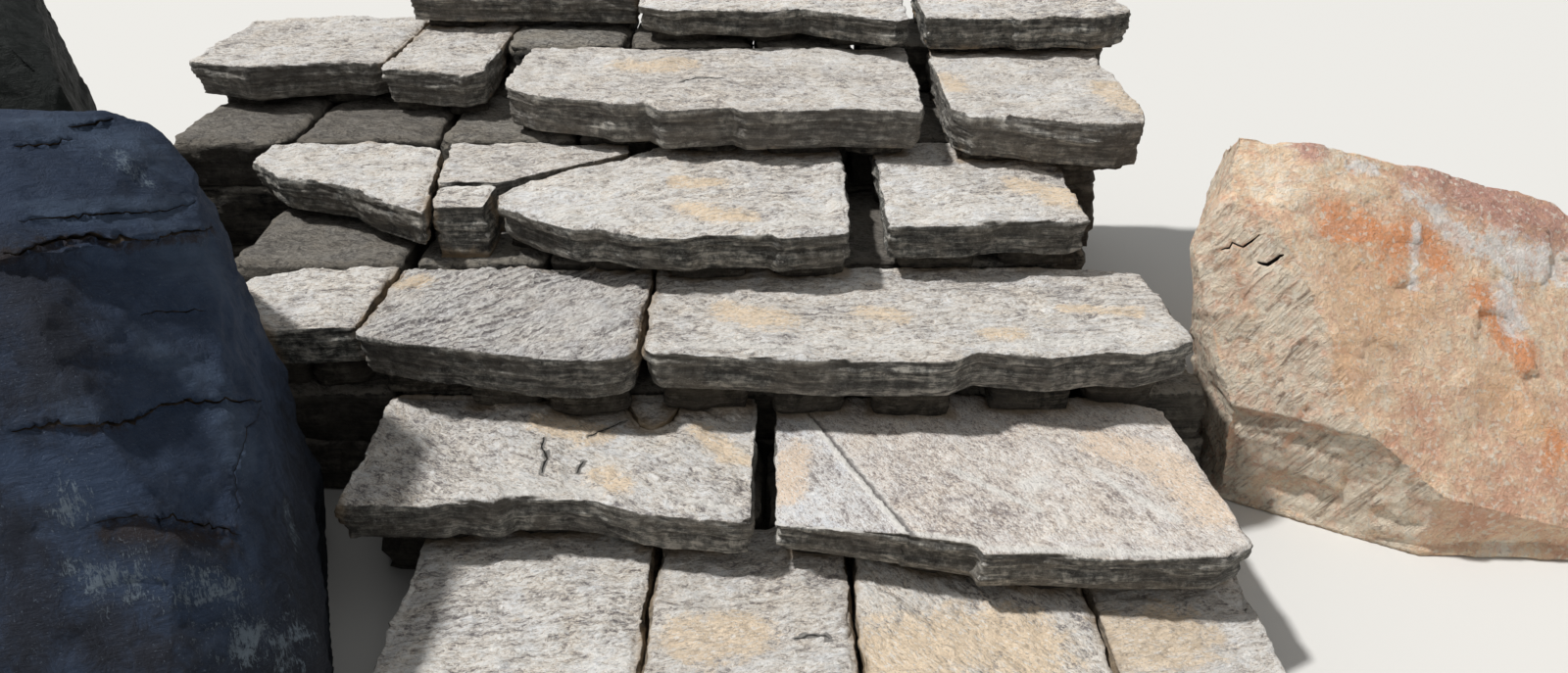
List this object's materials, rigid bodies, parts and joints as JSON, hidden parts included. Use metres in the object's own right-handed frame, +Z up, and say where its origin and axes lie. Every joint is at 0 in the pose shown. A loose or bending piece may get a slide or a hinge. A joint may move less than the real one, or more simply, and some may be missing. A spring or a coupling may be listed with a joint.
{
  "type": "outdoor stone steps",
  "caption": "Flight of rough split stone slabs, dry laid on packing stones and a rubble base, with a cheek boulder on each side.",
  "frame": {"origin": "on the ground, under the middle slab of the bottom step", "axes": "+X to the right as you walk up, +Y up the flight, away from the person walking up, +Z up"},
  "size_m": [4.62, 3.1449, 1.19],
  "materials": {
    "split_grey_stone": "rough split",
    "bedding_stone": "rough broken",
    "base_stone": "rough broken",
    "dark_boulder_stone": "smooth weathered",
    "rusty_boulder_stone": "rough weathered"
  },
  "bodies": {
    "root": {"base_course_1": "base_stone", "base_course_2": "base_stone", "base_course_3": "base_stone", "base_course_4": "base_stone", "base_course_5": "base_stone", "bedding_stones_2": "bedding_stone", "bedding_stones_3": "bedding_stone", "bedding_stones_4": "bedding_stone", "bedding_stones_5": "bedding_stone", "bedding_stones_6": "bedding_stone", "left_boulder": "dark_boulder_stone", "right_boulder": "rusty_boulder_stone", "step1_inner_slab": "split_grey_stone", "step1_left_slab": "split_grey_stone", "step1_middle_slab": "split_grey_stone", "step1_right_slab": "split_grey_stone", "step2_back_stone": "split_grey_stone", "step2_left_slab": "split_grey_stone", "step2_right_slab": "split_grey_stone", "step3_left_slab": "split_grey_stone", "step3_middle_slab": "split_grey_stone", "step3_right_slab": "split_grey_stone", "step4_filler_stones": "split_grey_stone", "step4_left_slab": "split_grey_stone", "step4_middle_slab": "split_grey_stone", "step4_right_slab": "split_grey_stone", "step5_inner_slab": "split_grey_stone", "step5_left_slab": "split_grey_stone", "step5_middle_slab": "split_grey_stone", "step5_right_slab": "split_grey_stone", "step6_left_slab": "split_grey_stone", "step6_middle_slab": "split_grey_stone", "step6_right_slab": "split_grey_stone", "upper_left_boulder": "dark_boulder_stone"}
  },
  "joints": []
}
